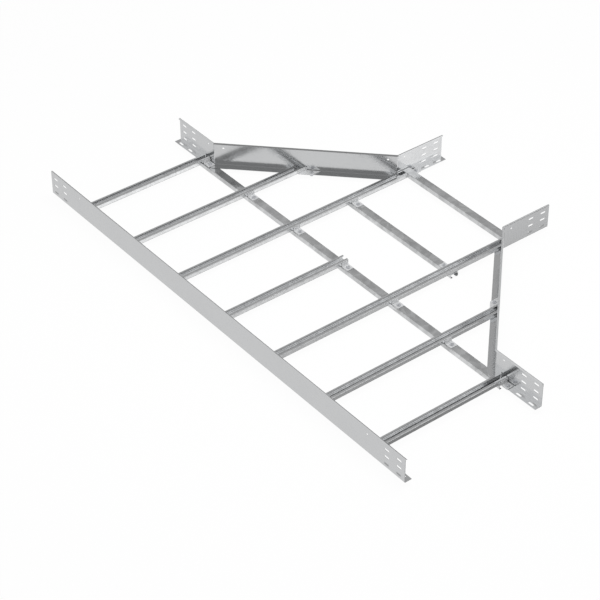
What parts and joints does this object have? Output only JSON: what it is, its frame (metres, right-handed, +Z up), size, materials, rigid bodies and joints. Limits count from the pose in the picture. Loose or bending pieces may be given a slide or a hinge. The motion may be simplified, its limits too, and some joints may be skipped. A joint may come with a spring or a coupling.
{
  "type": "cable tray tee",
  "caption": "Galvanised cable ladder tee: folded side rails with slotted ends, lipped channel rungs and angled corners join a branch run to a straight run.",
  "frame": {"origin": "where the centre lines of the main run and the branch cross, on the floor inside the middle rung", "axes": "+X along the main run, +Y towards the branch, +Z up, with the rails' open side up"},
  "size_m": [2.06, 1.325, 0.1182],
  "materials": {
    "rail_steel": "galvanised, soft sheen",
    "rung_steel": "galvanised, soft sheen",
    "bracket_steel": "galvanised, brighter sheen",
    "fastener_steel": "zinc plated"
  },
  "bodies": {
    "root": {"rail_straight": "rail_steel", "rail_left": "rail_steel", "rail_right": "rail_steel", "rung_1": "rung_steel", "rung_2": "rung_steel", "rung_3": "rung_steel", "rung_4": "rung_steel", "rung_5": "rung_steel", "rung_6": "rung_steel", "rung_7": "rung_steel", "cross_rung_main": "rung_steel", "cross_rung_middle": "rung_steel", "cross_rung_branch": "rung_steel", "bracket_main_1": "bracket_steel", "bolt_main_1": "fastener_steel", "nut_main_1": "fastener_steel", "bracket_main_2": "bracket_steel", "bolt_main_2": "fastener_steel", "nut_main_2": "fastener_steel", "bracket_main_3": "bracket_steel", "bolt_main_3": "fastener_steel", "nut_main_3": "fastener_steel", "bracket_main_4": "bracket_steel", "bolt_main_4": "fastener_steel", "nut_main_4": "fastener_steel", "bracket_main_5": "bracket_steel", "bolt_main_5": "fastener_steel", "nut_main_5": "fastener_steel", "bracket_main_6": "bracket_steel", "bolt_main_6": "fastener_steel", "nut_main_6": "fastener_steel", "bracket_main_7": "bracket_steel", "bolt_main_7": "fastener_steel", "nut_main_7": "fastener_steel", "bracket_middle_left": "bracket_steel", "bolt_middle_left": "fastener_steel", "nut_middle_left": "fastener_steel", "bracket_middle_right": "bracket_steel", "bolt_middle_right": "fastener_steel", "nut_middle_right": "fastener_steel", "bracket_diagonal_left": "bracket_steel", "bolt_diagonal_left": "fastener_steel", "nut_diagonal_left": "fastener_steel", "bracket_diagonal_right": "bracket_steel", "bolt_diagonal_right": "fastener_steel", "nut_diagonal_right": "fastener_steel", "bracket_branch_left": "bracket_steel", "bolt_branch_left": "fastener_steel", "nut_branch_left": "fastener_steel", "bracket_branch_right": "bracket_steel", "bolt_branch_right": "fastener_steel", "nut_branch_right": "fastener_steel"}
  },
  "joints": []
}
